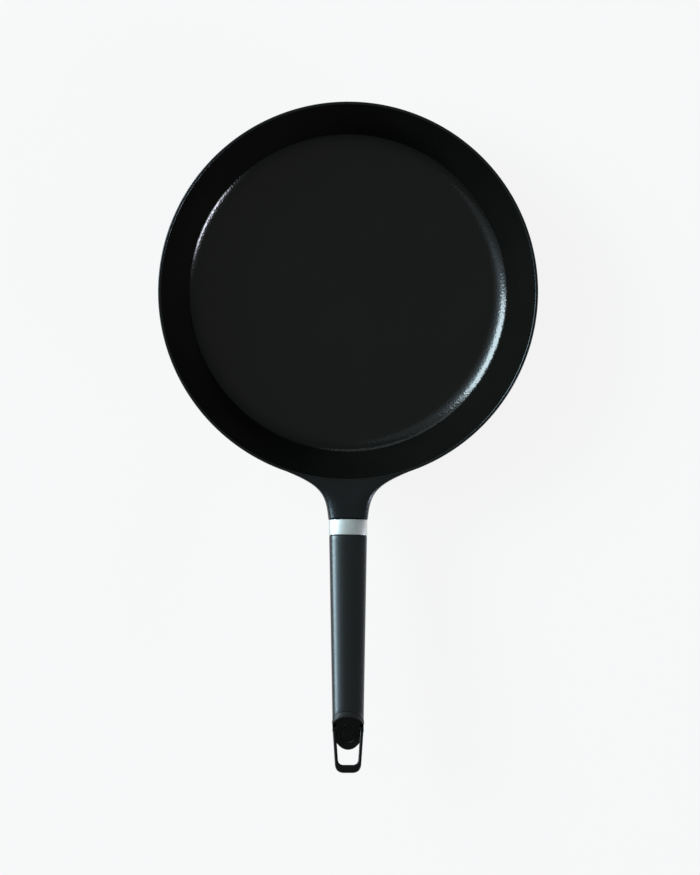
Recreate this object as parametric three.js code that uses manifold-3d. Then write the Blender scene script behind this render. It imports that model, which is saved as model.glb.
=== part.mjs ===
// A round skillet: a cast bowl with a flared neck, a steel ferrule, a tapered moulded grip, an end
// cap cut on the slant, and a hanging loop that swings up on two stub pins. One long bolt clamps the
// cap, the grip and the ferrule against the neck, and a plug covers its head.
// Millimetres, +Z up. The origin is the centre of the flat base and the handle runs along -Y.
import * as THREE from "three";
import { mergeVertices } from "three/addons/utils/BufferGeometryUtils.js";
import Module from "manifold-3d";

const wasm = await Module();
wasm.setup();

const radians = THREE.MathUtils.degToRad;

// Clearance between neighbouring pieces
const FIT = 0.3;

// Bowl
const RIM_RADIUS = 140;
const PAN_HEIGHT = 50;
const RIM_WALL = 2.2;
const FLOOR_THICKNESS = 3;
const WALL_RUN = 20.2; // how far the wall leans out between the floor's sweep and the rim
const SWEEP_RADIUS = 20; // inside curve that lifts the floor towards the wall
const SWEEP_ANGLE = radians(38);
const CREASE = 0.8; // length of each side of the short bend between the sweep and the wall
const LIP_ROUND = 0.7;

// Neck
const NECK_REACH = 27.8; // level distance from the rim to the middle of the neck's end
const NECK_SPREAD = radians(21); // half of the stretch of rim that the neck grows out of
const NECK_ROOT_DEPTH = 28; // how far below the rim the neck meets the wall
const NECK_SIDE_PULL = 32.5; // how long the outline follows the rim before it turns out
const NECK_TOP_PULL = 9;
const NECK_ROOT_PULL = 14;
const NECK_END_PULL = 19; // how long the outline follows the handle before it turns to the rim
const NECK_FLARE = 0.1; // sideways slope of the outline at the neck's end
const NECK_FLATNESS = 4; // squareness of the top that the neck keeps until it nears its end
const NECK_CHAMFER = 0.6;
const NECK_HALF_WIDTH = 14.65;
const NECK_CROWN = 7.2; // height above the line of greatest width
const NECK_BELLY = 14; // depth below that line
const NECK_CROWN_POWER = 3.2; // squareness of the upper half of the neck's end

// Handle
const HANDLE_TILT = radians(6);
const FERRULE_STEP = 0.5; // how far the ferrule stands inside the neck's outline
const FERRULE_WALL = 1;
const FERRULE_LENGTH = 11.5;
const FERRULE_CHAMFER = 0.3;
const GRIP_STEP = 0.2; // how far the grip stands inside the ferrule's outline
const GRIP_LENGTH = 137; // along the line of greatest width
const GRIP_CHAMFER = 0.6;
const GRIP_WALL = 3.2; // grip wall around the end cap's plug
const TAIL_HALF_WIDTH = 11.5;
const TAIL_CROWN = 5.9;
const TAIL_BELLY = 13.2;
const CROWN_POWER = 2.2; // squareness of the upper half of a section
const BELLY_POWER = 2; // squareness of the lower half
const SLANT = radians(40.3); // angle between the handle and the slanted end

// End cap
const CAP_PROUD = 0.3; // how far the cap stands outside the grip's outline
const CAP_BAND = 4.3; // length of the band between the grip and the slanted face
const CAP_BEVEL = 0.6; // width of the bevel round the slanted face
const SEAT_DEPTH = 17; // from the slanted face back to the bolt's seat
const SEAT_WALL = 8;

// Handle bolt and its washers
const BOLT_RADIUS = 3;
const BOLT_LENGTH = 150;
const BOLT_DROP = 3.3; // bolt axis below the line of greatest width
const BORE_CLEARANCE = 0.5;
const HEAD_RADIUS = 5;
const HEAD_HEIGHT = 6;
const SOCKET_RADIUS = 2.9; // corner radius of the hexagon
const SOCKET_DEPTH = 3.5;
const WASHER_RADIUS = 5.5;
const WASHER_THICKNESS = 1.6;
const LOCK_RADIUS = 5;
const LOCK_THICKNESS = 1.6;
const LOCK_SPLIT = 1;

// Hanging loop and its pins
const LOOP_SWING = radians(90);
const LOOP_REACH = 33; // from the pins to the loop's outer end
const LOOP_BAR = 5.9; // width of the cross bar
const LOOP_NARROWING = 2.2; // how far each arm closes in between the pins and the outer end
const LOOP_CORNER = 6.5;
const ARM_WIDTH = 2.5;
const ARM_HEIGHT = 4.6;
const ARM_INSET = 0.3; // how far the arms stand inside the cap's outline
const ARM_EDGE = 0.5;
const EYE_RADIUS = 3;
const PIVOT_DROP = 3.5; // pins below the line of greatest width
const PIN_RADIUS = 1.4;
const PIN_GRIP = 2; // length of pin held in the cap
const PIN_HEAD_RADIUS = 2.1;
const PIN_HEAD_THICKNESS = 0.8;

// Facets
const BOWL_SEGMENTS = 80;
const CURVE_DIVISIONS = 2;
const SECTION_SIDES = 32;
const ROUND_SIDES = 24;
const NECK_STATIONS = 8;
const SWING_STEPS = 9;
const BEYOND = 60; // size of cutting blocks that only need to be large enough
const SUNK = 0.15; // depth to which joined stretches of one piece run into each other

// Places along the handle, measured out from the neck's end
const FERRULE_START = FIT;
const FERRULE_END = FERRULE_START + FERRULE_LENGTH;
const GRIP_START = FERRULE_END + FIT;
const SPIGOT_MEETING = FERRULE_START + FERRULE_LENGTH / 2;
const GRIP_CUT = GRIP_START + GRIP_LENGTH;
const CAP_FACE = GRIP_CUT + FIT + CAP_BAND;
const SEAT = CAP_FACE - SEAT_DEPTH;
const PLUG_END = SEAT - SEAT_WALL;
const WASHER_START = SEAT + FIT;
const LOCK_START = WASHER_START + WASHER_THICKNESS + FIT;
const HEAD_START = LOCK_START + LOCK_THICKNESS + FIT;
const COVER_START = HEAD_START + HEAD_HEIGHT + FIT;
const BOLT_TIP = HEAD_START - BOLT_LENGTH;
const PIVOT = CAP_FACE; // the pins lie below the line where the slanted face is widest
const TAIL_LIMIT = CAP_FACE + BEYOND;

// Outlines across the handle
const HANDLE_FRONT = {
  half: NECK_HALF_WIDTH,
  crown: NECK_CROWN,
  belly: NECK_BELLY,
  power: CROWN_POWER,
};
const NECK_END = { ...HANDLE_FRONT, power: NECK_CROWN_POWER };
const FERRULE_OUTER = inset(HANDLE_FRONT, FERRULE_STEP);
const FERRULE_INNER = inset(FERRULE_OUTER, FERRULE_WALL);
const SPIGOT = inset(FERRULE_INNER, FIT);
const GRIP_FRONT = inset(FERRULE_OUTER, GRIP_STEP);
const GRIP_TAIL = {
  half: TAIL_HALF_WIDTH,
  crown: TAIL_CROWN,
  belly: TAIL_BELLY,
  power: CROWN_POWER,
};
const PLUG_SOCKET = inset(GRIP_TAIL, GRIP_WALL);
const PLUG = inset(PLUG_SOCKET, FIT);
const CAP_OUTER = inset(GRIP_TAIL, -CAP_PROUD);
const ARM_OUTER = CAP_OUTER.half - ARM_INSET;
const ARM_INNER = ARM_OUTER - ARM_WIDTH;
const COUNTERBORE = WASHER_RADIUS + FIT;
const PIN_HEAD_SEAT = ARM_OUTER - PIN_HEAD_THICKNESS - FIT;

function inset(outline, gap) {
  return {
    half: outline.half - gap,
    crown: outline.crown - gap,
    belly: outline.belly - gap,
    power: outline.power,
  };
}

// The outline of the grip at a distance along the handle: it narrows evenly to the slanted end.
function gripOutline(along) {
  const share = (along - GRIP_START) / GRIP_LENGTH;
  const mix = (key) => THREE.MathUtils.lerp(GRIP_FRONT[key], GRIP_TAIL[key], share);
  return { half: mix("half"), crown: mix("crown"), belly: mix("belly"), power: CROWN_POWER };
}

// A point on a handle outline: a shallow crown above the line of greatest width, a deep belly below.
function outlinePoint(outline, angle) {
  const c = Math.cos(angle);
  const s = Math.sin(angle);
  const power = 2 / (s >= 0 ? outline.power : BELLY_POWER);
  const height = s >= 0 ? outline.crown : outline.belly;
  return {
    x: outline.half * Math.sign(c) * Math.abs(c) ** power,
    z: height * Math.sign(s) * Math.abs(s) ** power,
  };
}

// Solid modelling helpers

// A closed geometry as a solid, with its faces turned outwards.
function solid(geometry) {
  const bare = new THREE.BufferGeometry();
  bare.setAttribute("position", geometry.getAttribute("position"));
  bare.setIndex(geometry.getIndex());
  const merged = mergeVertices(bare);
  const index = merged.getIndex().array;
  const triVerts = [];
  for (let i = 0; i < index.length; i += 3) {
    const [a, b, c] = index.subarray(i, i + 3);
    if (a !== b && b !== c && c !== a) triVerts.push(a, b, c);
  }
  const vertProperties = merged.getAttribute("position").array;
  const make = (faces) =>
    new wasm.Manifold(
      new wasm.Mesh({ numProp: 3, vertProperties, triVerts: new Uint32Array(faces) }),
    );
  const made = make(triVerts);
  return made.volume() > 0 ? made : make(triVerts.reverse());
}

function geometryOf(made) {
  const { vertProperties, triVerts } = made.getMesh();
  const geometry = new THREE.BufferGeometry();
  geometry.setAttribute("position", new THREE.BufferAttribute(vertProperties, 3));
  geometry.setIndex(new THREE.BufferAttribute(triVerts, 1));
  geometry.computeVertexNormals();
  return geometry;
}

const join = (first, ...others) => others.reduce((all, other) => all.add(other), first);
const cut = (first, ...others) => others.reduce((all, other) => all.subtract(other), first);

// A solid through closed rings of points, each ring with as many points, capped at both ends.
function loft(rings, firstCentre, lastCentre) {
  const count = rings[0].length;
  const points = [...rings.flat(), firstCentre, lastCentre];
  const faces = [];
  for (let i = 0; i < count; i++) {
    const next = (i + 1) % count;
    for (let r = 0; r + 1 < rings.length; r++) {
      const near = r * count;
      const far = near + count;
      faces.push(near + i, near + next, far + next, near + i, far + next, far + i);
    }
    const last = (rings.length - 1) * count;
    faces.push(points.length - 2, next, i, points.length - 1, last + i, last + next);
  }
  const geometry = new THREE.BufferGeometry().setFromPoints(points);
  geometry.setIndex(faces);
  return solid(geometry);
}

function ring(makePoint) {
  const angle = (i) => (i / SECTION_SIDES) * 2 * Math.PI;
  return Array.from({ length: SECTION_SIDES }, (_, i) => makePoint(angle(i)));
}

// A ring of an outline at a distance along the handle. Distances run along -Y.
function handleRing(outline, along) {
  return ring((angle) => {
    const { x, z } = outlinePoint(outline, angle);
    return new THREE.Vector3(x, -along, z);
  });
}

// A solid along the handle through stations, each a pair of an outline and its distance.
function bar(...stations) {
  const rings = stations.map(([outline, along]) => handleRing(outline, along));
  const centre = ([, along]) => new THREE.Vector3(0, -along, 0);
  return loft(rings, centre(stations[0]), centre(stations.at(-1)));
}

// A ring of an outline on a slanted plane that crosses the line of greatest width at a distance.
function slantRing(outline, along) {
  return ring((angle) => {
    const { x, z } = outlinePoint(outline, angle);
    return new THREE.Vector3(x, z / Math.tan(SLANT) - along, z);
  });
}

// A round or many-sided rod on the bolt's axis.
function boltRod(radius, from, to, sides = ROUND_SIDES) {
  const rod = new THREE.CylinderGeometry(radius, radius, to - from, sides);
  return solid(rod.translate(0, -(from + to) / 2, -BOLT_DROP));
}

// A round rod on the pins' axis, between two distances from the handle's middle.
function pinRod(radius, from, to) {
  const rod = new THREE.CylinderGeometry(radius, radius, Math.abs(to - from), ROUND_SIDES);
  return solid(rod.rotateZ(Math.PI / 2).translate((from + to) / 2, -PIVOT, -PIVOT_DROP));
}

// Everything beyond a plane that crosses the line of greatest width at a given distance. The plane
// leans by an angle from the handle; a right angle stands square to it.
function beyondPlane(along, lean) {
  const size = 4 * BEYOND;
  const block = new THREE.BoxGeometry(size, size, size).translate(0, 0, size / 2);
  return solid(block.rotateX(lean).translate(0, -along, 0));
}

// Everything beyond the grip's end: slanted above the line of greatest width, square below it.
function beyondGrip(along) {
  return join(beyondPlane(along, SLANT), beyondPlane(along, Math.PI / 2));
}

// Bowl profile

const wallTop = RIM_RADIUS - RIM_WALL;
const sweepRun = SWEEP_RADIUS * Math.sin(SWEEP_ANGLE);
const sweepRise = SWEEP_RADIUS * (1 - Math.cos(SWEEP_ANGLE));
const floorRadius = wallTop - WALL_RUN - sweepRun;
const sweepWay = new THREE.Vector2(Math.cos(SWEEP_ANGLE), Math.sin(SWEEP_ANGLE));

// Half of the bowl's section, from the axis out to the rim. The outside follows the inside at the
// floor's thickness below and the rim's thickness above.
function bowlProfile(floorLevel, sweepRadius, rimRadius, lipStep) {
  const path = new THREE.Path();
  path.moveTo(0, floorLevel);
  path.lineTo(floorRadius, floorLevel);
  const centreLevel = floorLevel + sweepRadius;
  const sweepEnd = -Math.PI / 2 + SWEEP_ANGLE;
  path.absarc(floorRadius, centreLevel, sweepRadius, -Math.PI / 2, sweepEnd, false);
  const bend = path.currentPoint.clone().addScaledVector(sweepWay, CREASE);
  const lip = new THREE.Vector2(rimRadius, PAN_HEIGHT - LIP_ROUND);
  const wallWay = lip.clone().sub(bend).normalize();
  const wallStart = bend.clone().addScaledVector(wallWay, CREASE);
  path.quadraticCurveTo(bend.x, bend.y, wallStart.x, wallStart.y);
  path.lineTo(lip.x, lip.y);
  path.quadraticCurveTo(rimRadius, PAN_HEIGHT, rimRadius + lipStep, PAN_HEIGHT);
  return { points: path.getPoints(CURVE_DIVISIONS), wallWay };
}

const inside = bowlProfile(FLOOR_THICKNESS, SWEEP_RADIUS, wallTop, LIP_ROUND);
const outside = bowlProfile(0, SWEEP_RADIUS + FLOOR_THICKNESS, RIM_RADIUS, -LIP_ROUND);

// Turns a bowl profile round the upright axis, closed off level at the given height.
function turned(points, level) {
  const top = points.at(-1);
  const closed = [...points];
  if (level > top.y) closed.push(new THREE.Vector2(top.x, level));
  closed.push(new THREE.Vector2(0, level));
  return solid(new THREE.LatheGeometry(closed, BOWL_SEGMENTS).rotateX(Math.PI / 2));
}

// The handle's frame: its line of greatest width leaves the middle of the neck's end along -Y
const crownLevel = PAN_HEIGHT + NECK_REACH * Math.tan(HANDLE_TILT);
const handle = new THREE.Group();
handle.position.set(0, -RIM_RADIUS - NECK_REACH, crownLevel - NECK_CROWN / Math.cos(HANDLE_TILT));
handle.rotation.x = -HANDLE_TILT;
handle.updateMatrix();

// The neck: curves that leave the rim and the outer wall smoothly and end square to the handle.
// Each curve has an angle round the neck's outline and a share, its place between the middle (0)
// and the sides (-1 and 1).

// Where a curve over the top leaves the rim, and the point that it first heads for. All of these
// curves are the side curve drawn in towards the middle.
function topRoot(share, height) {
  const turn = Math.asin(share * Math.sin(NECK_SPREAD));
  const radius = RIM_RADIUS - SUNK - (RIM_WALL / 2) * height;
  const level = PAN_HEIGHT - LIP_ROUND * (1 - height);
  const sideX = RIM_RADIUS * Math.sin(NECK_SPREAD) - NECK_SIDE_PULL * Math.cos(NECK_SPREAD);
  const sideY = RIM_RADIUS * Math.cos(NECK_SPREAD) + NECK_SIDE_PULL * Math.sin(NECK_SPREAD);
  const pulledY = THREE.MathUtils.lerp(RIM_RADIUS + NECK_TOP_PULL, sideY, share * share);
  return {
    point: new THREE.Vector3(radius * Math.sin(turn), -radius * Math.cos(turn), level),
    pulled: new THREE.Vector3(share * sideX, -pulledY, level),
  };
}

// The same for a curve below, which leaves the wall along the wall's own slope.
function wallRoot(angle) {
  const c = Math.cos(angle);
  const s = Math.abs(Math.sin(angle));
  const turn = NECK_SPREAD * c;
  const depth = LIP_ROUND + NECK_ROOT_DEPTH * s;
  const radius = RIM_RADIUS - SUNK - (depth * outside.wallWay.x) / outside.wallWay.y;
  const outwards = new THREE.Vector3(Math.sin(turn), -Math.cos(turn), 0);
  const upWall = outwards.clone().multiplyScalar(outside.wallWay.x).setZ(outside.wallWay.y);
  const way = new THREE.Vector3(-Math.cos(turn), -Math.sin(turn), 0).multiplyScalar(c);
  way.addScaledVector(upWall, s).normalize();
  const pull = THREE.MathUtils.lerp(NECK_ROOT_PULL, NECK_SIDE_PULL, c * c);
  const point = outwards.multiplyScalar(radius).setZ(PAN_HEIGHT - depth);
  return { point, pulled: point.clone().addScaledVector(way, pull) };
}

function neckCurve(angle) {
  const { x, z } = outlinePoint(NECK_END, angle);
  const share = x / NECK_HALF_WIDTH;
  const { point, pulled } = z < 0 ? wallRoot(angle) : topRoot(share, z / NECK_CROWN);
  const end = new THREE.Vector3(x, NECK_CHAMFER, z);
  const away = new THREE.Vector3(NECK_FLARE * share, 1, 0).normalize();
  const endPulled = end.clone().addScaledVector(away, NECK_END_PULL);
  const flat = (1 - Math.abs(share) ** NECK_FLATNESS) ** (1 / NECK_FLATNESS);
  if (z > 0) endPulled.setZ(NECK_CROWN * flat);
  return new THREE.CubicBezierCurve3(
    point,
    pulled,
    endPulled.applyMatrix4(handle.matrix),
    end.applyMatrix4(handle.matrix),
  );
}

function neck() {
  const rings = Array.from({ length: NECK_STATIONS + 1 }, (_, i) =>
    ring((angle) => neckCurve(angle).getPoint(i / NECK_STATIONS)),
  );
  const endRing = handleRing(inset(NECK_END, NECK_CHAMFER), 0);
  rings.push(endRing.map((point) => point.applyMatrix4(handle.matrix)));
  const rootCentre = new THREE.Vector3(0, -wallTop + WALL_RUN / 2, PAN_HEIGHT - NECK_ROOT_DEPTH / 2);
  return loft(rings, rootCentre, handle.position.clone());
}

// The pieces

// The bowl, its neck, and on the neck's end the spigot and tapped hole that take the handle.
function panBody() {
  const spigot = bar([SPIGOT, -SUNK], [SPIGOT, SPIGOT_MEETING - FIT]);
  const hole = boltRod(BOLT_RADIUS + FIT, BOLT_TIP - FIT, FERRULE_END);
  const blank = join(
    turned(outside.points, PAN_HEIGHT),
    neck(),
    spigot.transform(handle.matrix.elements),
  );
  const cavity = turned(inside.points, PAN_HEIGHT + NECK_CROWN);
  return cut(blank, cavity, hole.transform(handle.matrix.elements));
}

function ferrule() {
  const rounded = inset(FERRULE_OUTER, FERRULE_CHAMFER);
  const outer = bar(
    [rounded, FERRULE_START],
    [FERRULE_OUTER, FERRULE_START + FERRULE_CHAMFER],
    [FERRULE_OUTER, FERRULE_END - FERRULE_CHAMFER],
    [rounded, FERRULE_END],
  );
  return cut(outer, bar([FERRULE_INNER, FERRULE_START - BEYOND], [FERRULE_INNER, FERRULE_END + BEYOND]));
}

// The grip: a solid moulding with a spigot in the ferrule, a bolt bore and a socket for the cap's plug.
function grip() {
  const body = bar(
    [inset(GRIP_FRONT, GRIP_CHAMFER), GRIP_START],
    [gripOutline(GRIP_START + GRIP_CHAMFER), GRIP_START + GRIP_CHAMFER],
    [gripOutline(TAIL_LIMIT), TAIL_LIMIT],
  );
  const spigot = bar([SPIGOT, SPIGOT_MEETING + FIT], [SPIGOT, GRIP_START + SUNK]);
  const bore = boltRod(BOLT_RADIUS + BORE_CLEARANCE, 0, TAIL_LIMIT);
  const socket = bar([PLUG_SOCKET, PLUG_END - FIT], [PLUG_SOCKET, TAIL_LIMIT + BEYOND]);
  return cut(join(body, spigot), beyondGrip(GRIP_CUT), bore, socket);
}

// The end cap: a plug in the grip, a slanted band that shows, and a deep counterbore for the bolt's head.
function endCap() {
  const bevelStart = CAP_FACE - CAP_BEVEL / Math.tan(SLANT);
  const band = loft(
    [
      slantRing(CAP_OUTER, GRIP_START),
      slantRing(CAP_OUTER, bevelStart),
      slantRing(inset(CAP_OUTER, CAP_BEVEL), CAP_FACE),
    ],
    new THREE.Vector3(0, -GRIP_START, 0),
    new THREE.Vector3(0, -CAP_FACE, 0),
  );
  const plug = bar([PLUG, PLUG_END], [PLUG, TAIL_LIMIT]);
  const blank = join(band.intersect(beyondGrip(GRIP_CUT + FIT)), plug);
  const pinHole = (side) =>
    pinRod(PIN_RADIUS + FIT, side * (ARM_INNER - FIT - PIN_GRIP - FIT), side * CAP_OUTER.half);
  return cut(
    blank,
    beyondPlane(CAP_FACE, SLANT),
    boltRod(BOLT_RADIUS + FIT, 0, TAIL_LIMIT),
    boltRod(COUNTERBORE, SEAT, TAIL_LIMIT),
    armSweep(1),
    armSweep(-1),
    pinHole(1),
    pinHole(-1),
  );
}

// How far an arm's face has closed in at a distance from the pins.
const closing = (distance) => (LOOP_NARROWING * distance) / LOOP_REACH;

// The room that one arm needs as it swings from rest to its upper stop.
function armSweep(side) {
  const back = EYE_RADIUS + FIT;
  const inner = (distance) => side * (ARM_INNER - FIT - closing(distance));
  const clear = side * (CAP_OUTER.half + BEYOND);
  const plan = new THREE.Shape();
  plan.moveTo(inner(0), 0);
  plan.lineTo(inner(LOOP_REACH), -LOOP_REACH);
  plan.lineTo(clear, -LOOP_REACH);
  plan.lineTo(clear, 0);
  const depth = ARM_HEIGHT + 2 * FIT;
  const eye = new THREE.CylinderGeometry(back, back, BEYOND, ROUND_SIDES);
  eye.rotateZ(Math.PI / 2).translate(inner(0) + (side * BEYOND) / 2, 0, 0);
  const arm = new THREE.ExtrudeGeometry(plan, { depth, bevelEnabled: false }).translate(0, 0, -depth / 2);
  const swung = Array.from({ length: SWING_STEPS + 1 }, (_, i) =>
    solid(arm.clone().rotateX((-LOOP_SWING * i) / SWING_STEPS)),
  );
  return join(solid(eye), ...swung).translate(0, -PIVOT, -PIVOT_DROP);
}

// The hanging loop: two arms that close in towards a rounded cross bar, with an eye at each pin.
function hangingLoop() {
  const tip = LOOP_REACH - LOOP_BAR;
  const innerCorner = LOOP_CORNER - ARM_WIDTH;
  const outerX = (distance) => ARM_OUTER - closing(distance);
  const innerX = (distance) => ARM_INNER - closing(distance);
  const plan = new THREE.Shape();
  plan.moveTo(outerX(0), 0);
  plan.lineTo(outerX(LOOP_REACH - LOOP_CORNER), -LOOP_REACH + LOOP_CORNER);
  plan.quadraticCurveTo(outerX(LOOP_REACH), -LOOP_REACH, outerX(LOOP_REACH) - LOOP_CORNER, -LOOP_REACH);
  plan.lineTo(LOOP_CORNER - outerX(LOOP_REACH), -LOOP_REACH);
  plan.quadraticCurveTo(-outerX(LOOP_REACH), -LOOP_REACH,
    -outerX(LOOP_REACH - LOOP_CORNER), -LOOP_REACH + LOOP_CORNER);
  plan.lineTo(-outerX(0), 0);
  plan.lineTo(-innerX(0), 0);
  plan.lineTo(-innerX(tip - innerCorner), -tip + innerCorner);
  plan.quadraticCurveTo(-innerX(tip), -tip, innerCorner - innerX(tip), -tip);
  plan.lineTo(innerX(tip) - innerCorner, -tip);
  plan.quadraticCurveTo(innerX(tip), -tip, innerX(tip - innerCorner), -tip + innerCorner);
  plan.lineTo(innerX(0), 0);
  const frame = new THREE.ExtrudeGeometry(plan, {
    depth: ARM_HEIGHT - 2 * ARM_EDGE,
    bevelThickness: ARM_EDGE,
    bevelSize: ARM_EDGE,
    bevelOffset: -ARM_EDGE,
    bevelSegments: 1,
    curveSegments: 2 * CURVE_DIVISIONS,
  });
  frame.translate(0, -PIVOT, ARM_EDGE - ARM_HEIGHT / 2 - PIVOT_DROP);
  const eye = (side) => pinRod(EYE_RADIUS, side * ARM_INNER, side * ARM_OUTER);
  const headSeat = (side) =>
    pinRod(PIN_HEAD_RADIUS + FIT, side * PIN_HEAD_SEAT, side * CAP_OUTER.half);
  const pinHoles = pinRod(PIN_RADIUS + FIT, -CAP_OUTER.half, CAP_OUTER.half);
  return cut(join(solid(frame), eye(1), eye(-1)), pinHoles, headSeat(1), headSeat(-1));
}

// A stub pin: a shank through the loop's eye into the cap, and a head sunk flush in the eye.
function loopPin(side) {
  const root = ARM_INNER - FIT - PIN_GRIP;
  const shank = pinRod(PIN_RADIUS, side * root, side * ARM_OUTER);
  return join(shank, pinRod(PIN_HEAD_RADIUS, side * (PIN_HEAD_SEAT + FIT), side * ARM_OUTER));
}

function handleBolt() {
  const shank = boltRod(BOLT_RADIUS, BOLT_TIP, HEAD_START + SUNK);
  const head = boltRod(HEAD_RADIUS, HEAD_START, HEAD_START + HEAD_HEIGHT);
  const headEnd = HEAD_START + HEAD_HEIGHT;
  return cut(join(shank, head), boltRod(SOCKET_RADIUS, headEnd - SOCKET_DEPTH, headEnd + BEYOND, 6));
}

function washer(radius, start, thickness) {
  const hole = boltRod(BOLT_RADIUS + FIT, start - BEYOND, start + BEYOND);
  return cut(boltRod(radius, start, start + thickness), hole);
}

// The lock washer is a washer split through on its upper side.
function lockWasher() {
  const gap = new THREE.BoxGeometry(LOCK_SPLIT, BEYOND, BEYOND);
  const split = solid(gap.translate(0, -LOCK_START, BEYOND / 2 - BOLT_DROP));
  return cut(washer(LOCK_RADIUS, LOCK_START, LOCK_THICKNESS), split);
}

// The cover: a push-in plug that closes the counterbore flush with the slanted face.
function boltCover() {
  return cut(boltRod(COUNTERBORE - FIT, COVER_START, TAIL_LIMIT), beyondPlane(CAP_FACE, SLANT));
}

// Materials and assembly

const castIron = new THREE.MeshStandardMaterial({ color: 0x1a1c1b, roughness: 0.5, metalness: 0.3 });
const steel = new THREE.MeshStandardMaterial({ color: 0xc6cbcb, roughness: 0.35, metalness: 1 });
const gripResin = new THREE.MeshStandardMaterial({ color: 0x1c1e1f, roughness: 0.4, metalness: 0 });
const capResin = new THREE.MeshStandardMaterial({ color: 0x101211, roughness: 0.45, metalness: 0 });
const zinc = new THREE.MeshStandardMaterial({ color: 0x9a9d9f, roughness: 0.4, metalness: 1 });

function piece(name, made, material) {
  const mesh = new THREE.Mesh(geometryOf(made), material);
  mesh.name = name;
  return mesh;
}

handle.add(
  piece("ferrule", ferrule(), steel),
  piece("grip", grip(), gripResin),
  piece("end_cap", endCap(), capResin),
  piece("hanging_loop", hangingLoop(), capResin),
  piece("loop_pin_right", loopPin(1), zinc),
  piece("loop_pin_left", loopPin(-1), zinc),
  piece("handle_bolt", handleBolt(), zinc),
  piece("bolt_washer", washer(WASHER_RADIUS, WASHER_START, WASHER_THICKNESS), zinc),
  piece("lock_washer", lockWasher(), zinc),
  piece("bolt_cover", boltCover(), capResin),
);

const skillet = new THREE.Group();
skillet.add(piece("pan_body", panBody(), castIron), handle);

export default skillet;
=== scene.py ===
"""A black iron skillet on a plain pale floor, seen from straight above.

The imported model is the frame. Each of its pieces is built again here as a finer mesh in the same
place, and rides on the body of the piece it stands for. Lengths are in millimetres and are turned
into metres when a mesh, a lamp or the camera is made. +Z is up and the handle runs along -Y.
"""

import math
from collections import namedtuple

import bmesh
import bpy
from mathutils import Matrix, Vector


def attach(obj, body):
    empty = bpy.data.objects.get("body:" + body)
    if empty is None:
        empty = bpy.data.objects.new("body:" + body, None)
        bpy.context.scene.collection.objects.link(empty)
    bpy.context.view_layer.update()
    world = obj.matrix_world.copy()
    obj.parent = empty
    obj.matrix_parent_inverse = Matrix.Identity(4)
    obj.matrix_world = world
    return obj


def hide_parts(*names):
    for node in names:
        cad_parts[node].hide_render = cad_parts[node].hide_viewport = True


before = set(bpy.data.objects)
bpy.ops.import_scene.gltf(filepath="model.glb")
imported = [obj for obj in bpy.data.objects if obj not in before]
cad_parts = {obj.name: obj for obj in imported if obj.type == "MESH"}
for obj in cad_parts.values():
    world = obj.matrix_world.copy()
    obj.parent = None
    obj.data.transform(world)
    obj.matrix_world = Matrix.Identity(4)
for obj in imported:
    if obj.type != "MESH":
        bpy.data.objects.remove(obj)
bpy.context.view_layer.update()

MM = 0.001

# Clearance between neighbouring pieces
FIT = 0.3

# Bowl
RIM_RADIUS = 140
PAN_HEIGHT = 50
RIM_WALL = 2.2
FLOOR_THICKNESS = 3
WALL_RUN = 20.2
SWEEP_RADIUS = 20
SWEEP_ANGLE = math.radians(38)
CREASE = 0.8
LIP_ROUND = 0.7

# Neck
NECK_REACH = 27.8
NECK_SPREAD = math.radians(21)
NECK_ROOT_DEPTH = 28
NECK_SIDE_PULL = 32.5
NECK_TOP_PULL = 9
NECK_ROOT_PULL = 14
NECK_END_PULL = 19
NECK_FLARE = 0.1
NECK_FLATNESS = 4
NECK_EDGE = 0.6
NECK_HALF_WIDTH = 14.65
NECK_CROWN = 7.2
NECK_BELLY = 14
NECK_CROWN_POWER = 3.2

# Handle, whose section is a superellipse above its widest line and an ellipse below it
HANDLE_TILT = math.radians(6)
FERRULE_STEP = 0.5
FERRULE_WALL = 1
FERRULE_LENGTH = 11.5
FERRULE_EDGE = 0.4
GRIP_STEP = 0.2
GRIP_LENGTH = 137
GRIP_EDGE = 0.7
GRIP_TAIL_EDGE = 0.3
GRIP_WALL = 3.2
TAIL_HALF_WIDTH = 11.5
TAIL_CROWN = 5.9
TAIL_BELLY = 13.2
SLANT = math.radians(40.3)
CROWN_POWER = 2.2
BELLY_POWER = 2

# End cap
CAP_PROUD = 0.3
CAP_BAND = 4.3
CAP_EDGE = 0.7
CAP_BACK_EDGE = 0.3
SEAT_DEPTH = 17
SEAT_WALL = 8

# Handle bolt, its washers and its cover
BOLT_RADIUS = 3
BOLT_LENGTH = 150
BOLT_DROP = 3.3
BORE_CLEARANCE = 0.5
THREAD_LENGTH = 28
THREAD_PITCH = 1
THREAD_DEPTH = 0.45
HEAD_RADIUS = 5
HEAD_HEIGHT = 6
HEAD_EDGE = 0.5
SOCKET_SIDES = 6
SOCKET_RADIUS = 2.9
SOCKET_DEPTH = 3.5
WASHER_RADIUS = 5.5
WASHER_THICKNESS = 1.6
LOCK_RADIUS = 5
LOCK_THICKNESS = 1.6
LOCK_SPLIT = 1
WASHER_EDGE = 0.25
COVER_EDGE = 0.1

# Hanging loop and its pins
LOOP_SWING = math.radians(90)
LOOP_REACH = 33
LOOP_BAR = 5.9
LOOP_NARROWING = 2.2
LOOP_CORNER = 6.5
ARM_WIDTH = 2.5
ARM_HEIGHT = 4.6
ARM_INSET = 0.3
ARM_EDGE = 0.9
EYE_RADIUS = 3
PIVOT_DROP = 3.5
PIN_RADIUS = 1.4
PIN_GRIP = 2
PIN_HEAD_RADIUS = 2.1
PIN_HEAD_THICKNESS = 0.8
PIN_EDGE = 0.3

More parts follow.
